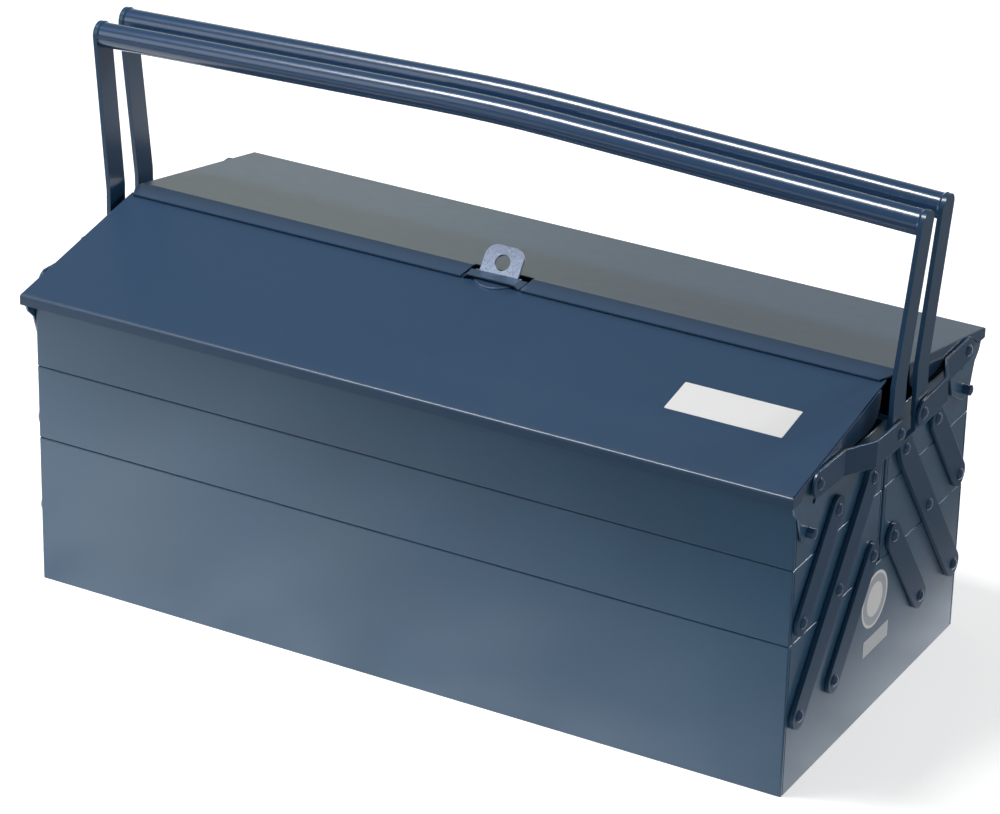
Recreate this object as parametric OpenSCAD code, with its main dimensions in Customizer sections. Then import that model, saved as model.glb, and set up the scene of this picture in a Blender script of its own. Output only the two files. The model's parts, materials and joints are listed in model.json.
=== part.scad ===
// Cantilever tool box: a base, two tiers of trays and two lids that open together on pivoted arms.
// X runs along the box, Y from front to back, Z up. The origin is the centre of the underside.
// Each side is drawn once as the back side and once mirrored for the front.

/* [Box] */
// Length of the boxes over their end walls
body_length = 528; // [440:1:620]
// Depth of the base over its long walls
body_width = 250; // [240:1:270]
// Height of the base
base_height = 101; // [90:1:110]
// Height of a middle tray
middle_tray_height = 49.4; // [46:0.2:52]
// Height of an upper tray
upper_tray_height = 46.4; // [44:0.2:46.4]
// Air between one box and the next in the stack
stack_gap = 0.6; // [0.3:0.1:1]
// Air between the front and back trays
centre_gap = 3; // [2:0.5:6]
// Thickness of the sheet
sheet = 1; // [0.8:0.1:1.2]
// Depth of the folded hem at the rim of the base
base_hem_depth = 8; // [5:0.5:12]
// Depth of the hem on a middle tray
middle_hem_depth = 9; // [5:0.5:12]
// Depth of the hem on an upper tray
upper_hem_depth = 7; // [5:0.5:12]
// Width of the seam beside each end wall corner
seam_width = 0.8; // [0.4:0.1:1.5]
// Depth of that seam
seam_depth = 0.5; // [0.2:0.1:0.6]

/* [Linkage] */
// Lean of the closed arms and links, from the vertical, in degrees
link_lean = 36.87; // [34:0.01:38]
// Distance of the arm's base pivot from the centre plane
base_pivot_out = 112; // [108:0.5:115]
// Height of the base pivots
base_pivot_height = 50; // [44:0.5:56]
// Distance between the two base pivots of one side
lower_pivot_spacing = 49.5; // [46:0.5:50]
// Distance between the pivots of a lower link
lower_link_length = 78.75; // [76:0.25:80]
// Distance between the tray pivots that share an upper link and the arm
upper_pivot_spacing = 48.25; // [46:0.25:49]
// Distance between the pivots of an upper link
upper_link_length = 70; // [68:0.5:71]
// Distance of the lid pivot from the centre plane
lid_pivot_out = 112; // [110:0.5:113]
// Height of the lid pivot
lid_pivot_height = 172; // [170:0.5:174]
// How far the lid link's pins lie inboard of the pivots below them
lid_crank_in = 6; // [4:0.5:7]
// How far they lie above those pivots
lid_crank_rise = 29.5; // [28.5:0.5:30.5]

/* [Bars] */
// Width of the arms, links and lid links
bar_width = 17; // [14:0.5:18]
// Thickness of an arm
arm_thickness = 3; // [2:0.5:3]
// Thickness of a short link
link_thickness = 2.5; // [2:0.1:2.6]
// Thickness of a lid link
lid_link_thickness = 2; // [1.5:0.1:2]
// Air between the end wall and the bars beside it
bar_gap = 0.4; // [0.2:0.1:0.6]
// How far the arm's upper part stands out beyond its lower part
arm_joggle = 10; // [9.5:0.5:11]
// Height at which the arm's joggle starts
arm_joggle_start = 177; // [175:1:178]
// Height at which the arm's joggle ends
arm_joggle_end = 190; // [188:1:191]
// Height at which the arm starts to lean outward
arm_flare_start = 231.5; // [228:0.5:240]
// How far the arm leans outward from there to the grip
arm_flare = 9.1; // [5:0.1:12]
// Distance from the pin on the arm to the lid link's joggle
lid_link_joggle_start = 34; // [33:0.5:36]
// Distance from the pin on the arm to the end of that joggle
lid_link_joggle_end = 56; // [54:0.5:60]

/* [Pins] */
// Radius of every pin
pin_radius = 2.5; // [2:0.1:3]
// Running clearance of a pin in its hole, on the radius
pin_clearance = 0.05; // [0.02:0.01:0.1]
// Radius of a domed rivet head
head_radius = 4; // [3.5:0.1:5]
// Height of a domed rivet head
head_height = 2; // [1:0.1:2.5]
// Air between a turning bar and the head over it
head_gap = 0.15; // [0.05:0.05:0.3]
// Length of the lid stud outside the end wall
lid_stud_length = 7.6; // [6.5:0.1:8.5]
// Radius of the lid stud
lid_stud_radius = 3.4; // [3:0.1:4]

/* [Grip] */
// Outer diameter of the grip tube
grip_diameter = 16; // [12:0.5:17]
// Wall of the grip tube
grip_wall = 1.5; // [1:0.1:3]
// Distance of the grip from the centre plane
grip_out = 14.5; // [12:0.5:16]
// Height of the grip's ends
grip_height = 334; // [320:1:345]
// Rise of each half of the grip towards the middle, in degrees
grip_rise = 2; // [1:0.1:3]
// Length over which the grip bends in the middle
grip_bend_length = 90; // [60:1:140]
// Size of the weld at each end of the grip
grip_weld = 1.4; // [0.5:0.1:2.5]

/* [Lids] */
// How far each lid stands out past the end walls
lid_end_overhang = 3; // [2.8:0.1:3]
// Distance of the lid's outer face from the centre plane
lid_out = 137.2; // [134:0.2:140]
// Height of the fold where the slope meets the lip, above the lid pivot
lid_fold_rise = 32.5; // [31.5:0.5:34]
// Height of the lip along the outer edge
lid_lip = 7; // [5:0.5:8]
// Slope of the lid tops, in degrees
lid_slope = 10.76; // [9:0.01:12]
// Where the back lid's slope ends, behind the centre plane
ridge_in = 1; // [0:0.5:4]
// How far the back lid reaches over the front lid
overlap_reach = 15.5; // [14:0.5:18]
// Fall of that overlap towards its front edge
overlap_fall = 1; // [0.6:0.1:1.4]
// Length of the chamfer at each end of the overlap, along the box
overlap_chamfer_length = 3.9; // [1:0.1:8]
// Depth of that chamfer, front to back
overlap_chamfer_depth = 8.2; // [2:0.1:12]
// Distance of the front lid's inboard edge from the centre plane
front_lid_in = 11.5; // [11:0.5:13]
// Depth of the stiffening flange under that edge
front_lid_flange = 5; // [3:0.5:8]
// Distance of the gable flange's inner end from the centre plane
gable_in = 20; // [16:0.5:30]
// Reach of the curve at that end
gable_curve = 18; // [10:0.5:18]
// Width of the flange's foot beside the lip
gable_foot = 10.2; // [6:0.1:14]
// Slant from that foot up to the flange's low edge
gable_slant = 9; // [6:0.5:12]
// Thickness of the cheek plate inside each gable
cheek_thickness = 1.3; // [1:0.1:1.4]
// Radius of the small hole in the cheek plate
cheek_hole_radius = 2; // [1:0.1:3]
// Air between a gable and the lid link outside it
lid_link_gap = 0.5; // [0.4:0.1:0.8]
// How far the collar under a lid link stands out around its pin
collar_width = 0.35; // [0.2:0.05:0.5]

/* [Hasp] */
// Width of the hasp tongue
hasp_width = 27; // [22:0.5:30]
// Thickness of the hasp
hasp_thickness = 2; // [1.5:0.1:2.5]
// Length of the hasp tongue above its foot
hasp_length = 20.5; // [18:0.5:24]
// Lean of the hasp tongue towards the back, in degrees
hasp_lean = 38; // [30:1:42]
// Radius of the padlock hole
hasp_hole_radius = 5.3; // [4:0.1:6]
// Height of the padlock hole along the tongue
hasp_hole_height = 9.5; // [9:0.5:11]
// Radius of the hasp's corners
hasp_corner_radius = 8; // [4:0.5:9]
// Radius of the hasp's round foot
hasp_foot_radius = 16; // [15:0.5:16]
// Thickness of that foot
hasp_foot_thickness = 1.2; // [0.8:0.1:1.3]
// Distance of the foot's centre in front of the centre plane
hasp_foot_out = 4; // [3.8:0.1:5]
// Air under the foot
hasp_seat_gap = 0.03; // [0.02:0.01:0.05]
// Width of the tab on the front lid that carries the hasp
hasp_tab_width = 40; // [38:0.5:41]
// Distance of the tab's end from the centre plane
hasp_tab_in = 3.5; // [3:0.1:3.8]
// Width of the notch in the overlap that clears the tab
notch_width = 42; // [41.5:0.5:46]
// Depth of the notch behind the centre plane
notch_reach = 4; // [3:0.5:4.5]
// Rise of the bridge over the overlap
bridge_rise = 2.2; // [2:0.1:3]
// Depth of the bridge, front to back
bridge_depth = 8.5; // [6:0.5:9]
// Width of the bridge's flat top
bridge_top_width = 33; // [28:0.5:34]
// How far the bridge stays inside the overlap and the tab
bridge_inset = 0.2; // [0.1:0.1:0.5]

/* [Hidden] */
$fn = 48;
overlap = 0.5; // how far one cut or joined solid runs into the next
proud = 0.01; // how far the bent length of the grip stands out from the straight ones beside it

enamel = [0.25, 0.34, 0.44];
enamel_dark = [0.20, 0.27, 0.36];
zinc = [0.68, 0.71, 0.77];

end_x = body_length / 2;
wall_y = body_width / 2;
hem_radius = sheet;
middle_base = base_height + stack_gap;
middle_top = middle_base + middle_tray_height;
upper_base = middle_top + stack_gap;

// Pivots as [distance from the centre plane, height].
lower_step = lower_link_length * [-sin(link_lean), cos(link_lean)];
upper_step = upper_link_length * [-sin(link_lean), cos(link_lean)];
crank_step = [-lid_crank_in, lid_crank_rise];
arm_base = [base_pivot_out, base_pivot_height];
arm_middle = arm_base + lower_step;
arm_upper = arm_middle + upper_step;
arm_pin = arm_upper + crank_step;
grip_end = [grip_out, grip_height];
link_base = arm_base - [lower_pivot_spacing, 0];
link_middle = link_base + lower_step;
upper_link_base = arm_middle + [upper_pivot_spacing, 0];
upper_link_top = upper_link_base + upper_step;
lid_pivot = [lid_pivot_out, lid_pivot_height];
lid_pin = lid_pivot + crank_step;

bar_radius = bar_width / 2;
hole_radius = pin_radius + pin_clearance;

// Distances outside the end wall.
arm_outside = bar_gap + arm_thickness;
link_outside = bar_gap + link_thickness;
arm_upper_inside = bar_gap + arm_joggle;
arm_upper_outside = arm_upper_inside + arm_thickness;
lid_link_arm_side = arm_upper_outside + bar_gap;
gable_inside = lid_end_overhang - sheet;
lid_link_lid_side = lid_end_overhang + lid_link_gap;
cheek_inside = gable_inside - cheek_thickness;

lid_fold_height = lid_pivot_height + lid_fold_rise;
slope_rise = tan(lid_slope);
function slope_height(out) = lid_fold_height + slope_rise * (lid_out - out);
lid_half_length = end_x + lid_end_overhang;
ridge_height = slope_height(ridge_in);
overlap_edge_height = ridge_height - overlap_fall;
lid_low = lid_fold_height - lid_lip;
gable_foot_in = lid_out - gable_foot;

// Unit vector to the left of the run from one point to the next.
function left_of(from, to) = [from[1] - to[1], to[0] - from[0]] / norm(to - from);

// Point of a mitred offset line beside point i of a list; side is 1 for left, -1 for right.
function beside(points, i, radius, side) =
    let (last = len(points) - 1,
         before = left_of(points[max(i, 1) - 1], points[max(i, 1)]),
         after = left_of(points[min(i, last - 1)], points[min(i, last - 1) + 1]))
    points[i] + side * radius * (before + after) / (1 + before * after);

// Points that round a corner of a centre line, starting at reach before it.
function eased(from, corner, to, reach) =
    let (a = corner + reach * (from - corner) / norm(from - corner),
         b = corner + reach * (to - corner) / norm(to - corner))
    [for (t = [0 : 0.25 : 1]) (1 - t) * (1 - t) * a + 2 * t * (1 - t) * corner + t * t * b];

// Outline of a flat bar along a centre line, with round ends.
module bar_outline(points, width) {
    last = len(points) - 1;
    polygon(concat(
        [for (i = [0 : last]) beside(points, i, width / 2, -1)],
        [for (i = [last : -1 : 0]) beside(points, i, width / 2, 1)]
    ));
    for (p = [points[0], points[last]])
        translate(p)
            circle(d = width);
}

// Extrudes an outline of depth and height along the box, between two distances.
module across(from, to) {
    translate([from, 0, 0])
        rotate([90, 0, 90])
            linear_extrude(height = to - from)
                children();
}

// Extrudes an outline of length and height from front to back, between two distances.
module front_to_back(from, to) {
    translate([0, to, 0])
        rotate([90, 0, 0])
            linear_extrude(height = to - from)
                children();
}

// Places something that is drawn against an end wall at x = 0 on the right end.
module at_right_end() {
    translate([end_x, 0, 0])
        children();
}

module at_left_end() {
    mirror([1, 0, 0])
        at_right_end()
            children();
}

module at_both_ends() {
    at_right_end()
        children();
    at_left_end()
        children();
}

module on_front() {
    mirror([0, 1, 0])
        children();
}

// Puts something drawn at the origin on a pivot, given as distance out and height.
module at_pivot(pivot) {
    translate([0, pivot[0], pivot[1]])
        children();
}

module pivot_hole(pivot, radius, from, to) {
    translate([from, pivot[0], pivot[1]])
        rotate([0, 90, 0])
            cylinder(r = radius, h = to - from);
}

// Rectangle with rounded corners, in plan.
module rounded_rectangle(size, radius) {
    square([size[0], size[1] - 2 * radius], center = true);
    square([size[0] - 2 * radius, size[1]], center = true);
    for (sx = [-1, 1], sy = [-1, 1])
        translate([sx * (size[0] / 2 - radius), sy * (size[1] / 2 - radius)])
            circle(r = radius);
}

// Open sheet box with hemmed rim, standing on z = 0 around the origin.
module sheet_box(size, pivots, y_shift, hem_depth) {
    hem_z = size[2] - hem_radius;
    run_x = size[0] / 2 - hem_radius;
    run_y = size[1] / 2 - hem_radius;
    difference() {
        union() {
            difference() {
                linear_extrude(height = hem_z)
                    rounded_rectangle([size[0], size[1]], sheet);
                translate([0, 0, sheet])
                    linear_extrude(height = size[2])
                        square([size[0] - 2 * sheet, size[1] - 2 * sheet], center = true);
            }
            translate([0, 0, size[2] - hem_depth])
                linear_extrude(height = hem_depth - hem_radius)
                    difference() {
                        square([size[0] - sheet, size[1] - sheet], center = true);
                        square([size[0] - 4 * sheet, size[1] - 4 * sheet], center = true);
                    }
            for (s = [-1, 1]) {
                translate([-run_x, s * run_y, hem_z])
                    rotate([0, 90, 0])
                        cylinder(r = hem_radius, h = 2 * run_x);
                translate([s * run_x, run_y, hem_z])
                    rotate([90, 0, 0])
                        cylinder(r = hem_radius, h = 2 * run_y);
                for (t = [-1, 1])
                    translate([s * run_x, t * run_y, hem_z])
                        sphere(r = hem_radius);
            }
        }
        for (s = [-1, 1], t = [-1, 1])
            translate([s * (size[0] / 2 - seam_depth / 2 + overlap / 2),
                       t * (size[1] / 2 - 2 * sheet - seam_width / 2), size[2] / 2 - hem_radius])
                cube([seam_depth + overlap, seam_width, size[2] - 2 * hem_radius], center = true);
        for (p = pivots)
            pivot_hole([p[0] - y_shift, p[1]], hole_radius,
                       -size[0] / 2 - overlap, size[0] / 2 + overlap);
    }
}

// Domed head of a rivet, standing on x = 0 and pointing along +X.
module dome(radius, height) {
    ball = (radius * radius + height * height) / (2 * height);
    rotate([0, 90, 0])
        intersection() {
            cylinder(r = radius, h = height);
            translate([0, 0, height - ball])
                sphere(r = ball);
        }
}

module rod(radius, from, to) {
    translate([from, 0, 0])
        rotate([0, 90, 0])
            cylinder(r = radius, h = to - from);
}

// Rivet whose formed head is seated at seat, with a domed head over the bar that ends at bar_face.
module rivet(seat, bar_face) {
    rod(head_radius, seat - head_height, seat);
    rod(pin_radius, seat - head_height, bar_face + head_gap + head_height / 2);
    translate([bar_face + head_gap, 0, 0])
        dome(head_radius, head_height);
}

// Long stud of the lid pivot, with its shoulder outside the cheek plate.
module lid_stud() {
    shoulder = gable_inside + head_gap;
    dome_base = lid_stud_length - head_height / 2;
    rod(head_radius, -sheet - head_height, -sheet);
    rod(pin_radius, -sheet - head_height, shoulder + overlap);
    rod(lid_stud_radius, shoulder, dome_base);
    translate([dome_base, 0, 0])
        dome(lid_stud_radius, head_height / 2);
}

// Rivet of a lid link at the cheek plate: its collar seats on the plate, its end is flush inside.
module lid_link_rivet() {
    link_face = lid_link_lid_side + lid_link_thickness;
    rod(pin_radius, cheek_inside, link_face + head_gap + head_height / 2);
    rod(pin_radius + collar_width, gable_inside, lid_link_lid_side - head_gap);
    translate([link_face + head_gap, 0, 0])
        dome(head_radius, head_height);
}

module short_link(from, to) {
    difference() {
        across(bar_gap, link_outside)
            bar_outline([from, to], bar_width);
        for (p = [from, to])
            pivot_hole(p, hole_radius, 0, link_outside + overlap);
    }
}

// Side view of an arm, as distance outside the end wall and height.
flare_run = grip_height - arm_flare_start;
joggle_angle = atan2(arm_joggle, arm_joggle_end - arm_joggle_start);
flare_angle = atan2(arm_flare, flare_run);
joggle_shift = arm_thickness * tan(joggle_angle / 2);
flare_shift = arm_thickness * tan(flare_angle / 2);
flare_top = grip_height + 2 * bar_radius;
flare_slope = arm_flare / flare_run;
grip_inside = arm_upper_inside + arm_flare;
function flare_out(z) = arm_upper_inside + (z - arm_flare_start) * flare_slope;

module arm_side_view() {
    below = arm_base[1] - 2 * bar_radius;
    outer_step = arm_thickness / cos(flare_angle);
    polygon([
        [bar_gap, below],
        [arm_outside, below],
        [arm_outside, arm_joggle_start - joggle_shift],
        [arm_upper_outside, arm_joggle_end - joggle_shift],
        [arm_upper_outside, arm_flare_start - flare_shift],
        [flare_out(flare_top) + outer_step, flare_top],
        [flare_out(flare_top), flare_top],
        [arm_upper_inside, arm_flare_start],
        [arm_upper_inside, arm_joggle_end],
        [bar_gap, arm_joggle_start]
    ]);
}

// Centre line of an arm, eased where it turns upright at the upper tray and straight at the pin.
arm_line = concat(
    [arm_base],
    eased(arm_base, arm_upper, arm_pin, bar_radius),
    eased(arm_upper, arm_pin, grip_end, bar_radius),
    [grip_end]
);

// Handle arm: a flat bar, bent in its own plane at the tray pivots and joggled outward over them.
module arm() {
    widest = flare_out(flare_top) + 2 * arm_thickness;
    difference() {
        intersection() {
            across(0, widest)
                bar_outline(arm_line, bar_width);
            front_to_back(0, base_pivot_out + bar_width)
                arm_side_view();
        }
        for (p = [arm_base, arm_middle, arm_upper])
            pivot_hole(p, hole_radius, 0, arm_outside + overlap);
        pivot_hole(arm_pin, hole_radius, arm_upper_inside - overlap, arm_upper_outside + overlap);
    }
}

// Lid link: a flat bar from the arm's pin to the lid's pin, joggled in towards the lid.
lid_link_run = lid_pin - arm_pin;
lid_link_length = norm(lid_link_run);
lid_link_drop = lid_link_arm_side - lid_link_lid_side;
lid_link_bend = atan2(lid_link_drop, lid_link_joggle_end - lid_link_joggle_start);

module lid_link_plan() {
    shift = lid_link_thickness * tan(lid_link_bend / 2);
    low = lid_link_lid_side;
    high = lid_link_arm_side;
    polygon([
        [-bar_width, high],
        [lid_link_joggle_start, high],
        [lid_link_joggle_end, low],
        [lid_link_length + bar_width, low],
        [lid_link_length + bar_width, low + lid_link_thickness],
        [lid_link_joggle_end + shift, low + lid_link_thickness],
        [lid_link_joggle_start + shift, high + lid_link_thickness],
        [-bar_width, high + lid_link_thickness]
    ]);
}

module lid_link() {
    high = lid_link_arm_side + lid_link_thickness;
    at_pivot(arm_pin)
        rotate([atan2(lid_link_run[1], lid_link_run[0]), 0, 0])
            difference() {
                intersection() {
                    across(0, high + overlap)
                        bar_outline([[0, 0], [lid_link_length, 0]], bar_width);
                    translate([0, 0, -bar_width])
                        linear_extrude(height = 2 * bar_width)
                            mirror([1, -1])
                                lid_link_plan();
                }
                pivot_hole([0, 0], hole_radius, 0, high + overlap);
                pivot_hole([lid_link_length, 0], hole_radius, 0, high + overlap);
            }
}

// Centre line of the grip: two straight halves and a round bend in the middle.
bend_radius = grip_bend_length / 2 / sin(grip_rise);
bend_drop = bend_radius * (1 - cos(grip_rise));
grip_end_x = end_x + grip_inside;
grip_top = grip_height + bend_drop + (grip_end_x - grip_bend_length / 2) * tan(grip_rise);
bend_steps = 720;

module grip_run(radius) {
    rotate([90, 0, 0])
        translate([0, grip_top - bend_radius, 0])
            rotate(90 - grip_rise)
                rotate_extrude(angle = 2 * grip_rise, $fn = bend_steps)
                    translate([bend_radius, 0])
                        circle(r = radius + proud, $fn = 48);
    for (s = [-1, 1])
        translate([s * grip_bend_length / 2, 0, grip_top - bend_drop])
            rotate([0, s * (90 + grip_rise), 0])
                cylinder(r = radius, h = grip_end_x - grip_bend_length / 2 + arm_thickness);
}

// Everything outboard of the arm's leaning inner face, at the right end.
module beyond_arm() {
    translate([grip_inside, 0, grip_height])
        rotate([0, flare_angle, 0])
            translate([0, -bar_width, -2 * bar_width])
                cube([4 * bar_width, 2 * bar_width, 4 * bar_width]);
}

// Grip tube with a ring of weld at each end, cut flush with the arms' inner faces.
module grip() {
    tube_radius = grip_diameter / 2;
    translate([0, grip_out, 0])
        difference() {
            union() {
                grip_run(tube_radius);
                at_both_ends()
                    translate([grip_inside, 0, grip_height])
                        rotate([0, 90 + grip_rise, 0])
                            translate([0, 0, -grip_weld])
                                cylinder(r1 = tube_radius - overlap / 2, r2 = tube_radius + grip_weld,
                                         h = 2 * grip_weld);
            }
            grip_run(tube_radius - grip_wall);
            at_both_ends()
                beyond_arm();
        }
}

// Section of a lid's top from the lip to inner, as distance out and height.
module slope_section(inner) {
    fold = 2 * sheet;
    fold_out = lid_out - fold;
    polygon([
        [lid_out, lid_low],
        [lid_out, slope_height(lid_out) - fold],
        [fold_out, slope_height(fold_out)],
        [inner, slope_height(inner)],
        [inner, slope_height(inner) - sheet],
        [fold_out, slope_height(fold_out) - sheet],
        [lid_out - sheet, slope_height(lid_out) - fold],
        [lid_out - sheet, lid_low]
    ]);
    difference() {
        translate([fold_out, slope_height(lid_out) - fold])
            circle(r = fold);
        translate([fold_out, slope_height(lid_out) - fold])
            circle(r = fold - sheet);
        translate([fold_out - 2 * fold, slope_height(lid_out) - 4 * fold])
            square([2 * fold, 8 * fold]);
        translate([fold_out - 2 * fold, slope_height(lid_out) - 5 * fold])
            square([4 * fold, 4 * fold]);
    }
}

// Outline of the gable flange, as distance out and height.
module gable_outline() {
    inner_end = [gable_in, slope_height(gable_in) - sheet / 2];
    inner_corner = [gable_in, lid_fold_height];
    slant_top = [gable_foot_in - gable_slant, lid_fold_height];
    polygon(concat(
        [[lid_out, lid_low], [lid_out, slope_height(lid_out) - sheet], inner_end],
        eased(inner_end, inner_corner, slant_top, gable_curve),
        [slant_top, [gable_foot_in, lid_low]]
    ));
}

// Lid sheet shared by both sides: sloping top, outer lip and a gable flange at each end.
module lid_shell(inner) {
    top_half = lid_half_length - sheet;
    fold_drop = sheet / cos(lid_slope);
    fold_overrun = 4 * sheet;
    slope_length = (lid_out - inner) / cos(lid_slope);
    intersection() {
        union() {
            across(-lid_half_length, lid_half_length)
                slope_section(inner);
            at_both_ends()
                across(gable_inside, lid_end_overhang)
                    gable_outline();
        }
        union() {
            across(-top_half, top_half)
                lid_envelope(inner, 0);
            across(-lid_half_length, lid_half_length)
                lid_envelope(inner, fold_drop);
            for (s = [-1, 1])
                translate([s * top_half, lid_out, lid_fold_height - fold_drop])
                    rotate([90 - lid_slope, 0, 0])
                        translate([0, 0, -fold_overrun])
                            cylinder(r = sheet, h = slope_length + 2 * fold_overrun);
        }
    }
}

// Space under the lid's slope, lowered by drop to leave room for the rounded end folds.
module lid_envelope(inner, drop) {
    polygon([
        [inner, 0],
        [lid_out, 0],
        [lid_out, slope_height(lid_out) - drop],
        [inner, slope_height(inner) - drop]
    ]);
}

module back_lid_shape() {
    difference() {
        union() {
            lid_shell(ridge_in);
            across(-lid_half_length, lid_half_length)
                polygon([
                    [ridge_in, ridge_height],
                    [ridge_in, ridge_height - sheet],
                    [-overlap_reach, overlap_edge_height - sheet],
                    [-overlap_reach, overlap_edge_height]
                ]);
        }
        for (s = [-1, 1])
            translate([s * lid_half_length, -overlap_reach, 0])
                linear_extrude(height = 2 * ridge_height)
                    polygon([
                        [0, 0],
                        [-s * overlap_chamfer_length, 0],
                        [0, overlap_chamfer_depth]
                    ]);
        translate([-notch_width / 2, -overlap_reach - overlap, ridge_height / 2])
            cube([notch_width, overlap_reach + overlap + notch_reach, ridge_height]);
    }
}

// Front lid, drawn on the back side like everything else.
module front_lid_shape() {
    tab_half = hasp_tab_width / 2;
    flange_half = lid_half_length - 4 * sheet;
    lid_shell(front_lid_in);
    across(-tab_half, tab_half)
        polygon([
            [front_lid_in + overlap, slope_height(front_lid_in + overlap)],
            [front_lid_in + overlap, slope_height(front_lid_in + overlap) - sheet],
            [hasp_tab_in, slope_height(hasp_tab_in) - sheet],
            [hasp_tab_in, slope_height(hasp_tab_in)]
        ]);
    for (s = [-1, 1])
        across(min(s * tab_half, s * flange_half), max(s * tab_half, s * flange_half))
            polygon([
                [front_lid_in, slope_height(front_lid_in) - sheet / 2],
                [front_lid_in + sheet, slope_height(front_lid_in + sheet) - sheet / 2],
                [front_lid_in + sheet, slope_height(front_lid_in) - front_lid_flange],
                [front_lid_in, slope_height(front_lid_in) - front_lid_flange]
            ]);
}

// Corners of a cheek plate from the lid pivot, in units of the rise between its two pins.
cheek_corners = [
    [0.78, 0.93], [0.66, 0.64], [0.46, 0.44], [0.3, -0.07], [0.22, -0.14], [0.14, -0.19],
    [0, -0.22], [-0.14, -0.2], [-0.66, 0.11], [-0.8, 0.51], [-0.9, 0.71], [-0.88, 1.25],
    [0.61, 1.08], [0.78, 1.02]
];

// Outline of a cheek plate, as distance out and height.
module cheek_outline() {
    polygon([for (c = cheek_corners) lid_pivot + lid_crank_rise * c]);
}

// Sheet plate under each end of a lid, with the lid's two pin holes and a small hole between them.
module lid_cheek() {
    cheek_hole = lid_pivot + 0.6 * crank_step - [pin_radius, 0];
    difference() {
        across(cheek_inside, gable_inside)
            cheek_outline();
        pivot_hole(lid_pivot, hole_radius, 0, gable_inside + overlap);
        pivot_hole(lid_pin, hole_radius, 0, gable_inside + overlap);
        pivot_hole(cheek_hole, cheek_hole_radius, 0, gable_inside + overlap);
    }
}

// Moves something drawn flat at the origin onto the front lid's slope at a distance out.
module on_front_slope(out) {
    translate([0, -out, slope_height(out)])
        rotate([lid_slope, 0, 0])
            children();
}

module base_box() {
    color(enamel_dark)
        sheet_box([body_length, body_width, base_height],
                  [for (s = [-1, 1], p = [arm_base, link_base]) [s * p[0], p[1]]], 0, base_hem_depth);
}

module base_rivets() {
    color(enamel_dark)
        for (side = [0, 1])
            mirror([0, side, 0])
                at_both_ends() {
                    at_pivot(arm_base)
                        rivet(-sheet, arm_outside);
                    at_pivot(link_base)
                        rivet(-sheet, link_outside);
                }
}

module tray(base, height, hem_depth, pivots) {
    depth = wall_y - centre_gap / 2;
    middle = centre_gap / 2 + depth / 2;
    translate([0, middle, base])
        sheet_box([body_length, depth, height], [for (p = pivots) [p[0], p[1] - base]], middle, hem_depth);
}

module middle_tray() {
    color(enamel_dark)
        tray(middle_base, middle_tray_height, middle_hem_depth, [arm_middle, link_middle, upper_link_base]);
}

module middle_rivets() {
    color(enamel_dark)
        at_both_ends() {
            at_pivot(arm_middle)
                rivet(-sheet, arm_outside);
            at_pivot(link_middle)
                rivet(-sheet, link_outside);
            at_pivot(upper_link_base)
                rivet(-sheet, link_outside);
        }
}

module upper_tray() {
    color(enamel_dark)
        tray(upper_base, upper_tray_height, upper_hem_depth, [arm_upper, upper_link_top, lid_pivot]);
}

module upper_rivets() {
    color(enamel_dark)
        at_both_ends() {
            at_pivot(arm_upper)
                rivet(-sheet, arm_outside);
            at_pivot(upper_link_top)
                rivet(-sheet, link_outside);
            at_pivot(lid_pivot)
                lid_stud();
        }
}

module handle_rivets() {
    color(enamel)
        at_both_ends()
            at_pivot(arm_pin)
                rivet(arm_upper_inside, lid_link_arm_side + lid_link_thickness);
}

module lid_rivets() {
    color(enamel)
        at_both_ends()
            at_pivot(lid_pin)
                lid_link_rivet();
}

module lid_cheeks() {
    color(enamel)
        at_both_ends()
            lid_cheek();
}

module painted_grip() {
    color(enamel)
        grip();
}

module painted_arm() {
    color(enamel)
        arm();
}

module lower_link() {
    color(enamel)
        short_link(link_base, link_middle);
}

module upper_link() {
    color(enamel)
        short_link(upper_link_base, upper_link_top);
}

module painted_lid_link() {
    color(enamel)
        lid_link();
}

module back_lid() {
    color(enamel)
        back_lid_shape();
}

module front_lid() {
    color(enamel)
        on_front()
            front_lid_shape();
}

// Flat outline of the hasp tongue, from its root on the lid to its rounded end.
module hasp_outline() {
    half = hasp_width / 2;
    square_top = hasp_length - hasp_corner_radius;
    difference() {
        union() {
            translate([-half, 0])
                square([hasp_width, square_top]);
            translate([-half + hasp_corner_radius, 0])
                square([hasp_width - 2 * hasp_corner_radius, hasp_length]);
            for (s = [-1, 1])
                translate([s * (half - hasp_corner_radius), square_top])
                    circle(r = hasp_corner_radius);
        }
        translate([0, hasp_hole_height])
            circle(r = hasp_hole_radius);
    }
}

// Hasp: a round foot flat on the front lid's tab, and a tongue that leans back through the slot.
module hasp() {
    color(zinc)
        on_front_slope(hasp_foot_out) {
            difference() {
                translate([0, 0, hasp_seat_gap])
                    cylinder(r = hasp_foot_radius, h = hasp_foot_thickness);
                translate([-hasp_foot_radius, 0, -overlap])
                    cube([2 * hasp_foot_radius, hasp_foot_radius, 2 * hasp_thickness]);
            }
            intersection() {
                translate([0, -hasp_thickness, 0])
                    rotate([90 - hasp_lean - lid_slope, 0, 0])
                        translate([0, 0, -hasp_thickness])
                            linear_extrude(height = hasp_thickness)
                                hasp_outline();
                translate([-hasp_width, -hasp_length, hasp_seat_gap])
                    cube([2 * hasp_width, 3 * hasp_length, 2 * hasp_length]);
            }
        }
}

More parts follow.
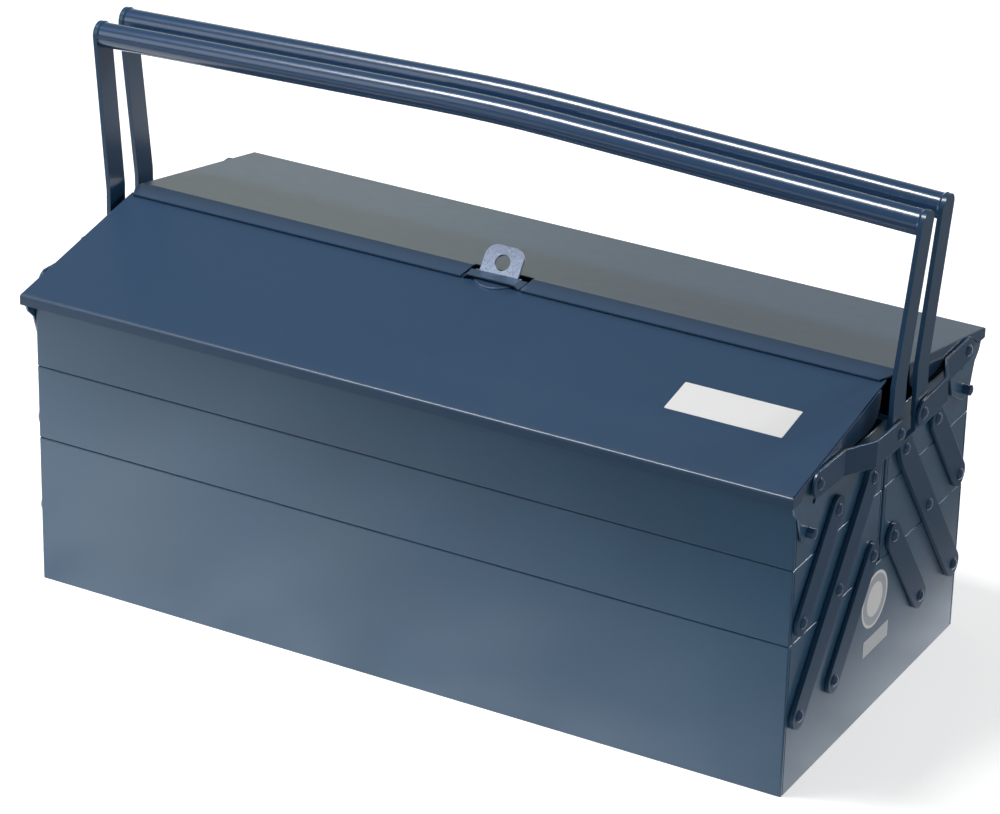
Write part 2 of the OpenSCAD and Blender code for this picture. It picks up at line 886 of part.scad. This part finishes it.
// Bridge over the front of the slot: a strap with a ramp and a leg at each end.
module hasp_bridge() {
    front = -overlap_reach + bridge_inset;
    back = front + bridge_depth;
    top = overlap_edge_height + bridge_rise;
    half = hasp_tab_width / 2 - bridge_inset;
    top_half = bridge_top_width / 2;
    leg_foot = slope_height(-back) - 2 * sheet;
    color(enamel)
        difference() {
            front_to_back(front, back)
                polygon([
                    [-half, leg_foot], [-half, overlap_edge_height],
                    [-top_half, top], [top_half, top],
                    [half, overlap_edge_height], [half, leg_foot],
                    [half - sheet, leg_foot], [half - sheet, overlap_edge_height - sheet / 2],
                    [top_half - sheet / 2, top - sheet], [-top_half + sheet / 2, top - sheet],
                    [-half + sheet, overlap_edge_height - sheet / 2], [-half + sheet, leg_foot]
                ]);
            on_front_slope(hasp_foot_out)
                translate([-body_length / 2, -wall_y, -wall_y])
                    cube([body_length, body_width, wall_y]);
        }
}

base_box();
base_rivets();
on_front() painted_grip();  // front_grip
on_front() at_left_end() painted_arm();  // front_arm_left
on_front() at_right_end() painted_arm();  // front_arm_right
on_front() handle_rivets();  // front_handle_rivets
on_front() middle_tray();  // front_middle_tray
on_front() middle_rivets();  // front_middle_rivets
on_front() upper_tray();  // front_upper_tray
on_front() upper_rivets();  // front_upper_rivets
front_lid();
on_front() lid_cheeks();  // front_lid_cheeks
on_front() lid_rivets();  // front_lid_rivets
on_front() at_left_end() lower_link();  // front_lower_link_left
on_front() at_right_end() lower_link();  // front_lower_link_right
on_front() at_left_end() upper_link();  // front_upper_link_left
on_front() at_right_end() upper_link();  // front_upper_link_right
on_front() at_left_end() painted_lid_link();  // front_lid_link_left
on_front() at_right_end() painted_lid_link();  // front_lid_link_right
hasp();
hasp_bridge();
painted_grip();  // back_grip
at_left_end() painted_arm();  // back_arm_left
at_right_end() painted_arm();  // back_arm_right
handle_rivets();  // back_handle_rivets
middle_tray();  // back_middle_tray
middle_rivets();  // back_middle_rivets
upper_tray();  // back_upper_tray
upper_rivets();  // back_upper_rivets
back_lid();
lid_cheeks();  // back_lid_cheeks
lid_rivets();  // back_lid_rivets
at_left_end() lower_link();  // back_lower_link_left
at_right_end() lower_link();  // back_lower_link_right
at_left_end() upper_link();  // back_upper_link_left
at_right_end() upper_link();  // back_upper_link_right
at_left_end() painted_lid_link();  // back_lid_link_left
at_right_end() painted_lid_link();  // back_lid_link_right
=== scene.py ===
"""Cantilever tool box: enamel, zinc plate, blank paper labels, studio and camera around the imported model."""
import json
import math

import bmesh
import bpy
import numpy as np
from mathutils import Matrix, Vector


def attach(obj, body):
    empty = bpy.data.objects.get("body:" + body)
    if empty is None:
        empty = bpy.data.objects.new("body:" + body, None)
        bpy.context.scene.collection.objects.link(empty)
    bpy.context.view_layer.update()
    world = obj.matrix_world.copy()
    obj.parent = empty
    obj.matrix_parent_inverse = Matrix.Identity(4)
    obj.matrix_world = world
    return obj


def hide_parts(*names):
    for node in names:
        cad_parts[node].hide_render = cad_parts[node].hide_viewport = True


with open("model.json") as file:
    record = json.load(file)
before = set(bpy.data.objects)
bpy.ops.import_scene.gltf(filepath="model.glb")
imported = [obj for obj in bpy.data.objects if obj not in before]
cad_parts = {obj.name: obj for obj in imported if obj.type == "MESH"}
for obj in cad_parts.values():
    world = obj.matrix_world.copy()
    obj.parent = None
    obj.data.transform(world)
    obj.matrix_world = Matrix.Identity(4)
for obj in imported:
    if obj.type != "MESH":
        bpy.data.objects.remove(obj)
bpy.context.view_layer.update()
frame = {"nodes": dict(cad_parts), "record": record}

MM = 0.001


# Shader groups

def new_group(name, inputs, outputs):
    """Empty shader group with named sockets: (kind, name, default) for inputs, (kind, name) for outputs."""
    group = bpy.data.node_groups.new(name, "ShaderNodeTree")
    for kind, label, default in inputs:
        socket = group.interface.new_socket(name=label, in_out="INPUT", socket_type=kind)
        socket.default_value = default
    for kind, label in outputs:
        group.interface.new_socket(name=label, in_out="OUTPUT", socket_type=kind)
    enter = group.nodes.new("NodeGroupInput")
    leave = group.nodes.new("NodeGroupOutput")
    return group, enter, leave


def math_node(nodes, links, operation, first, second):
    """One arithmetic node; first and second are sockets or numbers."""
    node = nodes.new("ShaderNodeMath")
    node.operation = operation
    for slot, value in zip(node.inputs, (first, second)):
        if isinstance(value, (int, float)):
            slot.default_value = value
        else:
            links.new(value, slot)
    return node.outputs[0]


def noise(nodes, links, place, scale, detail=2.0, rough=0.5):
    """Value noise on object coordinates, with scale in cells per metre."""
    node = nodes.new("ShaderNodeTexNoise")
    node.inputs["Detail"].default_value = detail
    node.inputs["Roughness"].default_value = rough
    if isinstance(scale, (int, float)):
        node.inputs["Scale"].default_value = scale
    else:
        links.new(scale, node.inputs["Scale"])
    links.new(place, node.inputs["Vector"])
    return node.outputs["Fac"]


def build_enamel_group():
    """Stove enamel: colour drifts slowly, the gloss is uneven, and the film has a fine orange peel.

    Height is fine noise plus a fifth of a wider ripple.
    Colour is the base times one plus slow noise and grain.
    """
    group, enter, leave = new_group(
        "stove_enamel",
        [("NodeSocketColor", "Base", (0.05, 0.1, 0.2, 1)), ("NodeSocketFloat", "Drift", 0.08),
         ("NodeSocketFloat", "Gloss", 0.3), ("NodeSocketFloat", "Peel Scale", 900.0)],
        [("NodeSocketColor", "Color"), ("NodeSocketFloat", "Roughness"), ("NodeSocketFloat", "Height")])
    nodes, links = group.nodes, group.links
    place = nodes.new("ShaderNodeTexCoord").outputs["Object"]
    slow = noise(nodes, links, place, 7.0, 3.0)
    fine = noise(nodes, links, place, enter.outputs["Peel Scale"], 2.0)
    ripple = noise(nodes, links, place, 90.0, 2.0)
    speck = noise(nodes, links, place, 2600.0, 1.0)
    swing = math_node(nodes, links, "SUBTRACT", slow, 0.5)
    swing = math_node(nodes, links, "MULTIPLY", swing, enter.outputs["Drift"])
    grain = math_node(nodes, links, "SUBTRACT", speck, 0.5)
    grain = math_node(nodes, links, "MULTIPLY", grain, 0.22)
    both = math_node(nodes, links, "ADD", swing, grain)
    gain = math_node(nodes, links, "ADD", both, 1.0)
    scale = nodes.new("ShaderNodeVectorMath")
    scale.operation = "SCALE"
    links.new(enter.outputs["Base"], scale.inputs[0])
    links.new(gain, scale.inputs["Scale"])
    links.new(scale.outputs[0], leave.inputs["Color"])
    uneven = math_node(nodes, links, "SUBTRACT", ripple, 0.5)
    uneven = math_node(nodes, links, "MULTIPLY", uneven, 0.05)
    links.new(math_node(nodes, links, "ADD", enter.outputs["Gloss"], uneven), leave.inputs["Roughness"])
    swell = math_node(nodes, links, "MULTIPLY", ripple, 0.2)
    height = math_node(nodes, links, "ADD", fine, swell)
    links.new(height, leave.inputs["Height"])
    return group


ENAMEL = build_enamel_group()


def material(name):
    """New node material with a Principled shader; returns the material, its nodes, links and shader."""
    made = bpy.data.materials.new(name)
    made.use_nodes = True
    nodes, links = made.node_tree.nodes, made.node_tree.links
    return made, nodes, links, nodes["Principled BSDF"]


def enamel(name, base, gloss=0.3, drift=0.1, peel=900.0, bump=0.05, coat=0.25, shine=0.12):
    """Painted steel from the enamel group, with its own colour, gloss and peel."""
    made, nodes, links, shader = material(name)
    film = nodes.new("ShaderNodeGroup")
    film.node_tree = ENAMEL
    film.inputs["Base"].default_value = (*base, 1)
    film.inputs["Drift"].default_value = drift
    film.inputs["Gloss"].default_value = gloss
    film.inputs["Peel Scale"].default_value = peel
    links.new(film.outputs["Color"], shader.inputs["Base Color"])
    links.new(film.outputs["Roughness"], shader.inputs["Roughness"])
    relief = nodes.new("ShaderNodeBump")
    relief.inputs["Strength"].default_value = bump
    relief.inputs["Distance"].default_value = 0.0002
    links.new(film.outputs["Height"], relief.inputs["Height"])
    links.new(relief.outputs["Normal"], shader.inputs["Normal"])
    shader.inputs["IOR"].default_value = 1.5
    shader.inputs["Coat Weight"].default_value = coat
    shader.inputs["Coat Roughness"].default_value = shine
    return made


def zinc():
    """Zinc plate: cool metal, finely mottled, with a brushed grain along the tongue."""
    made, nodes, links, shader = material("zinc_plate")
    place = nodes.new("ShaderNodeTexCoord").outputs["Object"]
    stretch = nodes.new("ShaderNodeMapping")
    stretch.inputs["Scale"].default_value = (1, 0.15, 0.15)
    links.new(place, stretch.inputs["Vector"])
    grain = noise(nodes, links, stretch.outputs["Vector"], 1600.0, 3.0)
    cloud = noise(nodes, links, place, 700.0, 4.0, 0.65)
    ramp = nodes.new("ShaderNodeValToRGB")
    ramp.color_ramp.elements[0].position = 0.38
    ramp.color_ramp.elements[0].color = (0.32, 0.39, 0.54, 1)
    ramp.color_ramp.elements[1].position = 0.64
    ramp.color_ramp.elements[1].color = (0.50, 0.58, 0.76, 1)
    links.new(cloud, ramp.inputs["Fac"])
    links.new(ramp.outputs["Color"], shader.inputs["Base Color"])
    rough = math_node(nodes, links, "MULTIPLY_ADD", grain, 0.25)
    rough.node.inputs[2].default_value = 0.22
    links.new(rough, shader.inputs["Roughness"])
    relief = nodes.new("ShaderNodeBump")
    relief.inputs["Strength"].default_value = 0.12
    relief.inputs["Distance"].default_value = 0.0001
    links.new(grain, relief.inputs["Height"])
    links.new(relief.outputs["Normal"], shader.inputs["Normal"])
    shader.inputs["Metallic"].default_value = 1.0
    return made


def paper(name, base):
    """Blank paper label: faint fibres in colour and relief."""
    made, nodes, links, shader = material(name)
    place = nodes.new("ShaderNodeTexCoord").outputs["Object"]
    fibre = noise(nodes, links, place, 700.0, 4.0)
    ramp = nodes.new("ShaderNodeValToRGB")
    ramp.color_ramp.elements[0].color = (*(c * 0.94 for c in base), 1)
    ramp.color_ramp.elements[1].color = (*base, 1)
    links.new(fibre, ramp.inputs["Fac"])
    links.new(ramp.outputs["Color"], shader.inputs["Base Color"])
    relief = nodes.new("ShaderNodeBump")
    relief.inputs["Strength"].default_value = 0.05
    relief.inputs["Distance"].default_value = 0.0001
    links.new(fibre, relief.inputs["Height"])
    links.new(relief.outputs["Normal"], shader.inputs["Normal"])
    shader.inputs["Roughness"].default_value = 0.35
    return made


# Painted light and shade: the real box has one enamel throughout; the lid and bar blues below are darkened
# copies of it as painted shade, and the box blue is a lightened copy as painted light.
LID_BLUE_SHADED = (0.022, 0.060, 0.124)
BODY_BLUE_LIT = (0.024, 0.092, 0.178)
ARM_BLUE_SHADED = (0.013, 0.054, 0.118)
TUBE_BLUE = (0.012, 0.050, 0.125)

FINISH = {
    "lid": enamel("lid_enamel", LID_BLUE_SHADED, gloss=0.36, bump=0.08, coat=0.35, shine=0.16),
    "box": enamel("box_enamel", BODY_BLUE_LIT, gloss=0.34, drift=0.4, bump=0.08, coat=1.0, shine=0.20),
    "bar": enamel("bar_enamel", ARM_BLUE_SHADED, gloss=0.30, bump=0.05, coat=0.2, shine=0.16),
    "tube": enamel("tube_enamel", TUBE_BLUE, gloss=0.26, bump=0.03, coat=1.0, shine=0.18),
    "rivet": enamel("rivet_enamel", TUBE_BLUE, gloss=0.24, bump=0.02, coat=1.0, shine=0.14),
    "zinc": zinc(),
}
PAPER = paper("label_paper", (0.80, 0.80, 0.80))
SEAL = paper("seal_paper", (0.90, 0.90, 0.90))
RING = paper("label_ring", (0.50, 0.53, 0.58))
GREY = paper("label_grey", (0.68, 0.70, 0.73))


# Pieces

def finish_of(node):
    """The finish and edge radius in mm of a node, by what the piece is."""
    if node.endswith("rivets"):
        return "rivet", 0.15
    if node == "hasp":
        return "zinc", 0.3
    if "grip" in node:
        return "tube", 0.2
    if "arm" in node or "link" in node:
        return "bar", 0.4
    if node in ("front_lid", "back_lid", "hasp_bridge"):
        return "lid", 0.3
    if node == "base_box" or node.endswith("tray"):
        return "box", 0.5
    return "box", 0.3


# A fold's least turn, and between wide faces. A wide face's width, and the least turn that is softened.
SHARP_TURN = math.radians(24)
WIDE_TURN = math.radians(9)
WIDE_FACE = 3 * MM
EDGE_TURN = math.radians(28)


def is_crease(edge):
    """True where two faces meet in a sharp turn, or in a lesser turn between two wide faces."""
    if len(edge.link_faces) != 2:
        return True
    turn = edge.calc_face_angle(0.0)
    widths = [face.calc_area() / max(edge.calc_length(), 1e-9) for face in edge.link_faces]
    return turn > SHARP_TURN or (turn > WIDE_TURN and min(widths) > WIDE_FACE)


def welded(node):
    """New mesh of a node's solid with its triangles' shared corners merged and flat regions made whole."""
    source = frame["nodes"][node].data
    co = np.empty(len(source.vertices) * 3)
    source.vertices.foreach_get("co", co)
    corners = np.empty(len(source.loops), np.int64)
    source.loops.foreach_get("vertex_index", corners)
    keys = np.round(co.reshape(-1, 3) * 1e7).astype(np.int64)
    kept, back = np.unique(keys, axis=0, return_inverse=True)
    tris = back.reshape(-1)[corners].reshape(-1, 3)
    whole = (tris[:, 0] != tris[:, 1]) & (tris[:, 1] != tris[:, 2]) & (tris[:, 0] != tris[:, 2])
    mesh = bpy.data.meshes.new(node + "_skin")
    mesh.from_pydata((kept * 1e-7).tolist(), [], tris[whole].tolist())
    work = bmesh.new()
    work.from_mesh(mesh)
    bmesh.ops.dissolve_limit(work, angle_limit=math.radians(0.3), verts=work.verts, edges=work.edges)
    for edge in work.edges:
        edge.smooth = not is_crease(edge)
    work.to_mesh(mesh)
    work.free()
    return mesh


def skin(node):
    """Dresses a node: same solid, merged, with softened edges and its finish."""
    finish, radius = finish_of(node)
    mesh = welded(node)
    mesh.materials.append(FINISH[finish])
    mesh.shade_smooth()
    piece = bpy.data.objects.new(node + "_skin", mesh)
    bpy.context.scene.collection.objects.link(piece)
    soft = piece.modifiers.new("edges", "BEVEL")
    soft.width = radius * MM
    soft.segments = 2
    soft.limit_method = "ANGLE"
    soft.angle_limit = EDGE_TURN
    soft.harden_normals = True
    flat = piece.modifiers.new("flats", "WEIGHTED_NORMAL")
    flat.keep_sharp = True
    body = next(b for b, names in frame["record"]["behaviour"]["bodies"].items() if node in names)
    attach(piece, body)
    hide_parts(node)
    return piece


for node_name in sorted(frame["nodes"]):
    skin(node_name)


# Lid slope, the outer fold's distance from the centre plane and its height, and the end wall's place, in mm.
LID_SLOPE = math.radians(10.76)
FOLD_OUT = 137.2
FOLD_Z = 204.5
END_WALL = 264.0


def slope_z(out):
    """Height in mm of the lid tops at a distance from the centre plane: fold height plus the slope's rise."""
    return FOLD_Z + math.tan(LID_SLOPE) * (FOLD_OUT - out)


def plate(name, outline, thickness, place, finish, body):
    """Thin plate: the outline's points are copied up by the thickness, and rim and faces are closed."""
    count = len(outline)
    flat = np.column_stack([outline, np.zeros(count)])
    co = np.concatenate([flat, flat + [0, 0, thickness]]) * MM
    ring = np.arange(count)
    after = np.roll(ring, -1)
    sides = np.column_stack([ring, after, after + count, ring + count])
    faces = [ring[::-1].tolist(), (ring + count).tolist()] + sides.tolist()
    mesh = bpy.data.meshes.new(name)
    mesh.from_pydata(co.tolist(), [], faces)
    mesh.transform(place)
    mesh.materials.append(finish)
    piece = bpy.data.objects.new(name, mesh)
    bpy.context.scene.collection.objects.link(piece)
    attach(piece, body)
    return piece


def rounded(width, depth, radius, steps=6):
    """Rounded rectangle: quarter circles about the four corner centres, in order."""
    turn = np.linspace(0, np.pi / 2, steps)
    pieces = []
    for i, (sx, sy) in enumerate(((1, 1), (-1, 1), (-1, -1), (1, -1))):
        angle = turn + i * np.pi / 2
        centre = np.array([sx * (width / 2 - radius), sy * (depth / 2 - radius)])
        pieces.append(centre + radius * np.column_stack([np.cos(angle), np.sin(angle)]))
    return np.concatenate(pieces)


def circle(radius, count=72):
    """Points of a circle: the radius times cosine and sine of equal turns."""
    angle = np.arange(count) * 2 * np.pi / count
    return radius * np.column_stack([np.cos(angle), np.sin(angle)])


def half_disc(radius, count=36):
    """Points of the lower half of a circle, from just past its left end to its right end."""
    angle = np.pi + np.arange(1, count + 1) * np.pi / count
    return radius * np.column_stack([np.cos(angle), np.sin(angle)])


def on_front_lid(x, out, lift=0.0):
    """Places a flat plate on the front lid's slope, its local +Y up the slope."""
    return (Matrix.Translation(Vector((x, -out, slope_z(out))) * MM)
            @ Matrix.Rotation(LID_SLOPE, 4, "X") @ Matrix.Translation((0, 0, lift * MM)))


def on_right_end(y, z, lift=0.0):
    """Places a flat plate on the right end wall, its local +X towards the back and +Y up."""
    face = Matrix(((0, 0, 1, 0), (1, 0, 0, 0), (0, 1, 0, 0), (0, 0, 0, 1)))
    spot = Vector((END_WALL + lift, y, z)) * MM
    return Matrix.Translation(spot) @ face


# Places of the paint over the hasp's foot and of the blank labels, in mm, each for its middle.
HASP_PAINT_RADIUS = 15.2
HASP_PAINT_OUT = 4.0
HASP_FOOT_TOP = 1.235
LID_LABEL_X = 196.5
LID_LABEL_OUT = 73.5
SEAL_SPOT = (-2.8, 77)
GREY_SPOT = (2.3, 46.7)
CLEAR = 0.02
LABEL_SHEET = 0.1
RING_SHEET = 0.03

plate("hasp_foot_paint", half_disc(HASP_PAINT_RADIUS), 0.04,
      on_front_lid(0, HASP_PAINT_OUT, HASP_FOOT_TOP), FINISH["lid"], "front_lid")
plate("lid_label", rounded(77, 28.5, 0.8), 0.12,
      on_front_lid(LID_LABEL_X, LID_LABEL_OUT, CLEAR), PAPER, "front_lid")
plate("end_seal", circle(18.5), LABEL_SHEET, on_right_end(*SEAL_SPOT, CLEAR), SEAL, "base")
plate("end_seal_ring", circle(16.6), RING_SHEET, on_right_end(*SEAL_SPOT, CLEAR + LABEL_SHEET),
      RING, "base")
plate("end_seal_middle", circle(11.2), RING_SHEET, on_right_end(*SEAL_SPOT, CLEAR + LABEL_SHEET + RING_SHEET),
      SEAL, "base")
plate("end_label", rounded(36, 11, 0.6), LABEL_SHEET, on_right_end(*GREY_SPOT, CLEAR), GREY, "base")


# Studio

# Each ramp of a glow is where it starts and stops, in metres, then its values there.
PATCH_SKEW = -0.43
PATCH_RAMP = (-0.50, -0.08, 0.0, 1.3)
SIDE_RAMP = (0.22, 0.34, 1.0, 0.03)
OUTER_RAMP = (0.30, 0.50, 0.0, 0.14)
FAR_RAMP = (-0.7, -1.2, 0.04, 0.6)
CARD_RAMP = (-1.40, -0.90, 1.0, 0.66)

# Clouds in the floor's glow, the floor's size in metres, and the strengths of its lift and of the room.
CLOUDS_PER_METRE = 9.0
CLOUD_GAIN = 1.3
CLOUD_LEAST = 0.33
FLOOR_HALF = 12.0
FLOOR_LIFT = 0.5
ROOM_LIGHT = 0.24
ROOM_MIRROR = 0.16


def ramp_between(nodes, links, value, start, stop, low, high):
    """Smooth step of a value from low at start to high at stop."""
    node = nodes.new("ShaderNodeMapRange")
    node.interpolation_type = "SMOOTHSTEP"
    for label, number in (("From Min", start), ("From Max", stop), ("To Min", low), ("To Max", high)):
        node.inputs[label].default_value = number
    links.new(value, node.inputs["Value"])
    return node.outputs[0]


def floor_glow(nodes, links):
    """How bright the floor is in reflections: a lit patch before the box, dim beside it and bright far off.

    The patch is a smooth step of y plus the skew times x, times slow clouds, cut off to the right of the box,
    where the glow rises again with the distance from the end wall.
    """
    place = nodes.new("ShaderNodeTexCoord").outputs["Object"]
    split = nodes.new("ShaderNodeSeparateXYZ")
    links.new(place, split.inputs[0])
    skew = math_node(nodes, links, "MULTIPLY_ADD", split.outputs["X"], PATCH_SKEW)
    links.new(split.outputs["Y"], skew.node.inputs[2])
    patch = ramp_between(nodes, links, skew, *PATCH_RAMP)
    side = ramp_between(nodes, links, split.outputs["X"], *SIDE_RAMP)
    far = ramp_between(nodes, links, split.outputs["Y"], *FAR_RAMP)
    outer = ramp_between(nodes, links, split.outputs["X"], *OUTER_RAMP)
    cloud = noise(nodes, links, place, CLOUDS_PER_METRE, 3.0)
    cloud = math_node(nodes, links, "MULTIPLY_ADD", cloud, CLOUD_GAIN)
    cloud.node.inputs[2].default_value = CLOUD_LEAST
    clouded = math_node(nodes, links, "MULTIPLY", patch, cloud)
    near = math_node(nodes, links, "MULTIPLY", clouded, side)
    nearer = math_node(nodes, links, "ADD", near, outer)
    return math_node(nodes, links, "ADD", nearer, far)


def floor():
    """Pale floor sheet at the base's underside, large enough to fill every view.

    What the camera sees is the lit sheet plus an even lift to white, so that the object's shadow stays.
    """
    half = FLOOR_HALF
    corners = [(-half, -half, 0), (half, -half, 0), (half, half, 0), (-half, half, 0)]
    mesh = bpy.data.meshes.new("floor")
    mesh.from_pydata(corners, [], [(0, 1, 2, 3)])
    made, nodes, links, shader = material("floor_paper")
    shader.inputs["Base Color"].default_value = (0.86, 0.86, 0.86, 1)
    shader.inputs["Roughness"].default_value = 0.9
    shader.inputs["Specular IOR Level"].default_value = 0.1
    path = nodes.new("ShaderNodeLightPath")
    lift = math_node(nodes, links, "MULTIPLY", path.outputs["Is Camera Ray"], FLOOR_LIFT)
    shader.inputs["Emission Color"].default_value = (1, 1, 1, 1)
    links.new(lift, shader.inputs["Emission Strength"])
    mirrored = nodes.new("ShaderNodeEmission")
    mirrored.inputs["Color"].default_value = (1.0, 1.05, 1.12, 1)
    links.new(floor_glow(nodes, links), mirrored.inputs["Strength"])
    both = nodes.new("ShaderNodeMixShader")
    links.new(path.outputs["Is Glossy Ray"], both.inputs[0])
    links.new(shader.outputs[0], both.inputs[1])
    links.new(mirrored.outputs[0], both.inputs[2])
    links.new(both.outputs[0], nodes["Material Output"].inputs["Surface"])
    mesh.materials.append(made)
    sheet = bpy.data.objects.new("floor", mesh)
    bpy.context.scene.collection.objects.link(sheet)


def card(name, corners, glow, ramp):
    """Flat card that only reflections see, its glow eased along x by a ramp."""
    mesh = bpy.data.meshes.new(name)
    mesh.from_pydata(corners, [], [(0, 1, 2, 3)])
    made, nodes, links, shader = material(name)
    shader.inputs["Base Color"].default_value = (0, 0, 0, 1)
    shader.inputs["Emission Color"].default_value = (*glow, 1)
    split = nodes.new("ShaderNodeSeparateXYZ")
    links.new(nodes.new("ShaderNodeTexCoord").outputs["Object"], split.inputs[0])
    links.new(ramp_between(nodes, links, split.outputs["X"], *ramp), shader.inputs["Emission Strength"])
    mesh.materials.append(made)
    board = bpy.data.objects.new(name, mesh)
    bpy.context.scene.collection.objects.link(board)
    board.visible_camera = False
    board.visible_diffuse = False
    board.visible_shadow = False


def area_light(name, spot, aim, size, power):
    """Soft box at spot, turned to aim with its width level, and with its power in watts."""
    lamp = bpy.data.lights.new(name, "AREA")
    lamp.shape = "RECTANGLE"
    lamp.size, lamp.size_y = size
    lamp.energy = power
    holder = bpy.data.objects.new(name, lamp)
    bpy.context.scene.collection.objects.link(holder)
    back = (Vector(spot) - Vector(aim)).normalized()
    side = (Vector((1, 0, 0)) - back * back.x).normalized()
    upright = back.cross(side)
    holder.matrix_world = Matrix(((side.x, upright.x, back.x, spot[0]), (side.y, upright.y, back.y, spot[1]),
                                  (side.z, upright.z, back.z, spot[2]), (0, 0, 0, 1)))
    return holder


def world_light():
    """White surroundings for the camera, an even soft light, and a dim room in the reflections."""
    world = bpy.data.worlds.new("studio")
    bpy.context.scene.world = world
    world.use_nodes = True
    nodes, links = world.node_tree.nodes, world.node_tree.links
    back = nodes["Background"]
    path = nodes.new("ShaderNodeLightPath")
    seen = math_node(nodes, links, "MULTIPLY_ADD", path.outputs["Is Camera Ray"], 1.0 - ROOM_LIGHT)
    seen.node.inputs[2].default_value = ROOM_LIGHT
    dim = math_node(nodes, links, "MULTIPLY_ADD", path.outputs["Is Glossy Ray"], ROOM_MIRROR - ROOM_LIGHT)
    dim.node.inputs[2].default_value = 0.0
    strength = math_node(nodes, links, "ADD", seen, dim)
    back.inputs["Color"].default_value = (1, 1, 1, 1)
    links.new(strength, back.inputs["Strength"])


floor()
world_light()
card("back_card", [(-4.0, 2.4, 0.02), (1.5, 2.4, 0.02), (1.5, 2.4, 1.3), (-4.0, 2.4, 1.3)],
     (0.57, 0.58, 0.46), CARD_RAMP)
area_light("top", (-0.60, -0.42, 2.0), (0.0, 0, 0.3), (0.8, 0.42), 30)
area_light("key", (1.3, 1.9, 1.5), (0, 0, 0.1), (0.36, 0.36), 18)
area_light("fill", (-1.8, -1.6, 1.2), (0, 0, 0.1), (1.6, 1.2), 9)


# Camera

def place_camera():
    """Camera solved from the photograph: azimuth, elevation and roll about a target, in degrees and mm."""
    azimuth, elevation, roll = (math.radians(a) for a in (28.70, 25.89, 1.31))
    distance, focal, offset = 2655.35, 4229.47, (-1.17, 0.57)
    target = Vector((-0.28, 0, 137.42))
    back = Vector((math.sin(azimuth) * math.cos(elevation), -math.cos(azimuth) * math.cos(elevation),
                   math.sin(elevation)))
    level = (-back).cross(Vector((0, 0, 1))).normalized()
    upright = level.cross(-back)
    right = math.cos(roll) * level + math.sin(roll) * upright
    up = -math.sin(roll) * level + math.cos(roll) * upright
    data = bpy.data.cameras.new("camera")
    holder = bpy.data.objects.new("camera", data)
    bpy.context.scene.collection.objects.link(holder)
    spot = (target + back * distance) * MM
    holder.matrix_world = Matrix(((right.x, up.x, back.x, spot.x), (right.y, up.y, back.y, spot.y),
                                  (right.z, up.z, back.z, spot.z), (0, 0, 0, 1)))
    data.sensor_fit = "HORIZONTAL"
    data.sensor_width = 36.0
    data.lens = focal * 36.0 / 1000
    data.shift_x = -offset[0] / 1000
    data.shift_y = offset[1] / 1000
    data.clip_end = 60
    bpy.context.scene.camera = holder


place_camera()
bpy.context.scene.view_settings.view_transform = "Standard"
